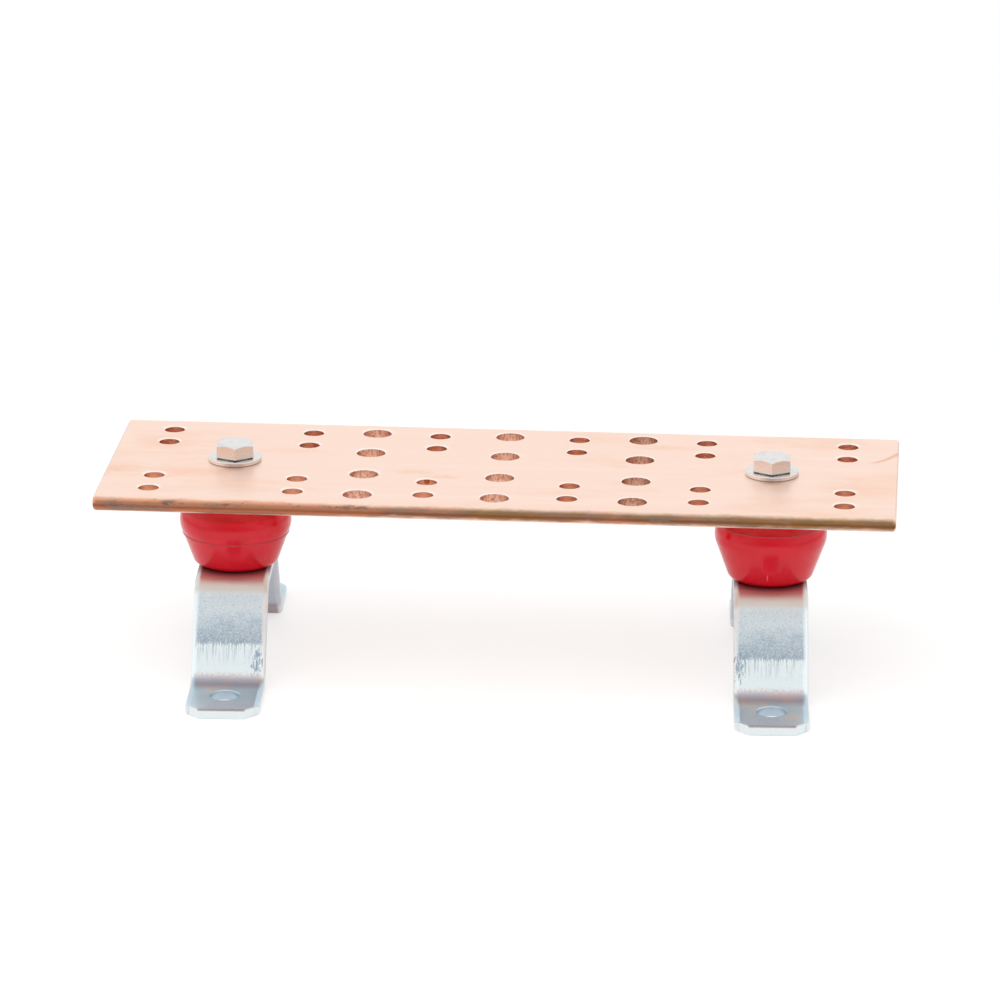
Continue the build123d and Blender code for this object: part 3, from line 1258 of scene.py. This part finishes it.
@dataclass
class Station:
    """One insulator on its bracket, with the bolts and washers that hold them."""

    side: Side
    place: float
    turn: float
    scuff: Pair
    zinc_roughness: float = 0.29

    def dress(self, finishes: dict[Slot, bpy.types.Material], effects: Effects) -> None:
        """Gives each piece of the station its finish.

        Args:
            finishes: The material for each slot but the zinc, which is the station's own.
            effects: The shared surface effects.
        """
        name = f"bright_zinc_{self.side.value}"
        zinc = BrightZinc(name, self.zinc_roughness, self.place, self.turn, self.scuff)
        finishes = {**finishes, Slot.ZINC: zinc.material(effects)}
        for slot, pieces in (
            (Slot.RED, ("insulator",)),
            (Slot.BRASS, ("upper_insert", "lower_insert")),
            (Slot.ZINC, ("bracket",)),
            (Slot.STAINLESS, ("top_bolt", "top_washer", "bottom_bolt", "bottom_lock_washer")),
        ):
            for piece in pieces:
                paint(f"{piece}_{self.side.value}", finishes[slot])


@dataclass
class Bar:
    """The drilled copper bar."""

    node: str = "busbar"

    def dress(self, finishes: dict[Slot, bpy.types.Material]) -> None:
        """Gives the bar its copper."""
        paint(self.node, finishes[Slot.COPPER])


@dataclass
class Studio:
    """The pale floor, the soft light and the camera."""

    floor_radius: float = 0.75
    floor_segments: int = 96
    floor_fade: Pair = (0.25, 0.98)
    floor_colour: float = 0.75
    floor_lift: float = 0.3
    eye_colour: float = 0.42
    eye_lift: float = 0.62
    near_stops: tuple[Pair, ...] = (
        (0.0, 1.0),
        (0.5, 1.0),
        (0.67, 0.8),
        (0.83, 0.56),
        (0.94, 0.4),
        (1.0, 0.26),
    )
    horizon: Span = (-0.02, 0.01)
    table_level: float = 0.6
    soft_level: float = 0.85
    box_place: Triple = (-0.2, -0.5, 1.25)
    box_target: Triple = (0.0, 0.0, 0.05)
    box_size: float = 1.3
    box_power: float = 8.0
    lens: float = 199.937
    sensor: float = 36.0
    clip: Pair = (0.05, 20.0)
    camera_place: Triple = (0.16008, -2.03791, 0.72947)
    camera_turn: Triple = (72.0086, -0.1572, 4.5687)

    def build_floor(self) -> None:
        """Lays the round floor, which fades into the white around it."""
        mesh = bpy.data.meshes.new("studio_floor")
        shape = bmesh.new()
        bmesh.ops.create_circle(shape, cap_ends=True, segments=self.floor_segments, radius=self.floor_radius)
        shape.to_mesh(mesh)
        shape.free()
        floor = bpy.data.objects.new("studio_floor", mesh)
        bpy.context.scene.collection.objects.link(floor)
        mesh.materials.append(self.floor_material())

    @staticmethod
    def mirrored(wiring: Wiring, path: bpy.types.Node) -> Socket:
        """Marks the rays that come by a reflection or through glass."""
        names = ("Is Glossy Ray", "Is Transmission Ray")
        return wiring.maths("MAXIMUM", *(path.outputs[name] for name in names))

    def floor_material(self) -> bpy.types.Material:
        """Makes the floor's paper: white to the eye and in reflections, with a soft shadow."""
        material = bpy.data.materials.new("studio_paper")
        material.use_nodes = True
        material.node_tree.nodes.clear()
        wiring = Wiring(material.node_tree)
        path = wiring.node("ShaderNodeLightPath")
        eye = path.outputs["Is Camera Ray"]
        paper = wiring.node("ShaderNodeBsdfDiffuse")
        pale = wiring.tint(eye, (self.floor_colour,) * 3, (self.eye_colour,) * 3)
        wiring.feed(paper.inputs["Color"], pale)
        glow = wiring.node("ShaderNodeEmission")
        lift = wiring.product(self.mirrored(wiring, path), self.floor_lift)
        lift = wiring.maths("MULTIPLY_ADD", eye, self.eye_lift, lift)
        wiring.feed(glow.inputs["Strength"], lift)
        both = wiring.node("ShaderNodeAddShader")
        wiring.feed(both.inputs[0], paper.outputs[0])
        wiring.feed(both.inputs[1], glow.outputs[0])
        clear = wiring.node("ShaderNodeBsdfTransparent")
        under = wiring.node("ShaderNodeNewGeometry").outputs["Backfacing"]
        reach = wiring.distance(wiring.node("ShaderNodeTexCoord").outputs["Object"])
        fade = wiring.between(reach, *(share * self.floor_radius for share in self.floor_fade))
        mixed = wiring.node("ShaderNodeMixShader")
        wiring.feed(mixed.inputs[0], wiring.maths("MAXIMUM", under, fade))
        wiring.feed(mixed.inputs[1], both.outputs[0])
        wiring.feed(mixed.inputs[2], clear.outputs[0])
        output = wiring.node("ShaderNodeOutputMaterial")
        wiring.feed(output.inputs["Surface"], mixed.outputs[0])
        return material

    def build_sky(self) -> None:
        """Makes the white surround: bright above and behind, dimmer towards the camera's side."""
        world = bpy.data.worlds.new("studio_surround")
        bpy.context.scene.world = world
        world.use_nodes = True
        world.node_tree.nodes.clear()
        wiring = Wiring(world.node_tree)
        _, away, up = wiring.axes(wiring.node("ShaderNodeTexCoord").outputs["Generated"])
        dim = wiring.node("ShaderNodeValToRGB")
        wiring.feed(dim.inputs[0], wiring.product(away, -1.0))
        ramp = dim.color_ramp
        ramp.elements.remove(ramp.elements[1])
        for index, (spot, value) in enumerate(self.near_stops):
            stop = ramp.elements[0] if index == 0 else ramp.elements.new(spot)
            stop.position = spot
            stop.color = (value, value, value, 1.0)
        path = wiring.node("ShaderNodeLightPath")
        above = wiring.between(up, *self.horizon)
        shown = wiring.tint(above, (self.table_level,) * 3, dim.outputs[0])
        shown = wiring.tint(self.mirrored(wiring, path), (self.soft_level,) * 3, shown)
        shown = wiring.tint(path.outputs["Is Camera Ray"], shown, (1.0, 1.0, 1.0))
        background = wiring.node("ShaderNodeBackground")
        wiring.feed(background.inputs["Color"], shown)
        output = wiring.node("ShaderNodeOutputWorld")
        wiring.feed(output.inputs["Surface"], background.outputs[0])

    def build_lamp(self) -> None:
        """Hangs the soft box overhead, a little to the camera's side."""
        lamp = bpy.data.lights.new("soft_box", "AREA")
        lamp.shape = "SQUARE"
        lamp.size = self.box_size
        lamp.energy = self.box_power
        hung = bpy.data.objects.new("soft_box", lamp)
        bpy.context.scene.collection.objects.link(hung)
        hung.location = self.box_place
        aim = Vector(self.box_target) - hung.location
        hung.rotation_euler = aim.to_track_quat("-Z", "Y").to_euler()
        hung.visible_camera = False
        hung.visible_glossy = False

    def build_camera(self) -> None:
        """Sets the camera at the photograph's place."""
        camera = bpy.data.cameras.new("studio_camera")
        camera.lens = self.lens
        camera.sensor_width = self.sensor
        camera.clip_start, camera.clip_end = self.clip
        holder = bpy.data.objects.new("studio_camera", camera)
        bpy.context.scene.collection.objects.link(holder)
        holder.location = self.camera_place
        holder.rotation_euler = Euler([math.radians(turn) for turn in self.camera_turn], "XYZ")
        bpy.context.scene.camera = holder

    def build(self) -> None:
        """Builds the floor, the surround, the lamp and the camera."""
        self.build_floor()
        self.build_sky()
        self.build_lamp()
        self.build_camera()
        bpy.context.scene.view_settings.view_transform = "Standard"


def paint(node: str, material: bpy.types.Material) -> None:
    """Puts a finish on a node.

    Args:
        node: The node's name.
        material: The finish.
    """
    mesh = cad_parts[node].data
    for index in range(len(mesh.materials)):
        mesh.materials[index] = material
    log.info("%s: %s", node, material.name)


def main() -> None:
    """Builds the finishes, dresses the bar and the stations with them, and builds the studio."""
    logging.basicConfig(level=logging.INFO, format="%(message)s")
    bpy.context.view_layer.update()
    effects = Effects()
    finishes = {
        Slot.COPPER: RolledCopper("rolled_copper", roughness=0.34).material(effects),
        Slot.RED: MouldedRed("moulded_red_resin", roughness=0.13).material(effects),
        Slot.STAINLESS: SatinStainless("satin_stainless", roughness=0.26).material(effects),
        Slot.BRASS: TurnedBrass("turned_brass", roughness=0.25).material(effects),
    }
    Bar().dress(finishes)
    for station in (
        Station(Side.LEFT, -STATION, turn=2.45, scuff=(11.0, 11.0)),
        Station(Side.RIGHT, STATION, turn=3.05, scuff=(-12.0, 14.0)),
    ):
        station.dress(finishes, effects)
    Studio().build()


if __name__ == "__main__":
    main()
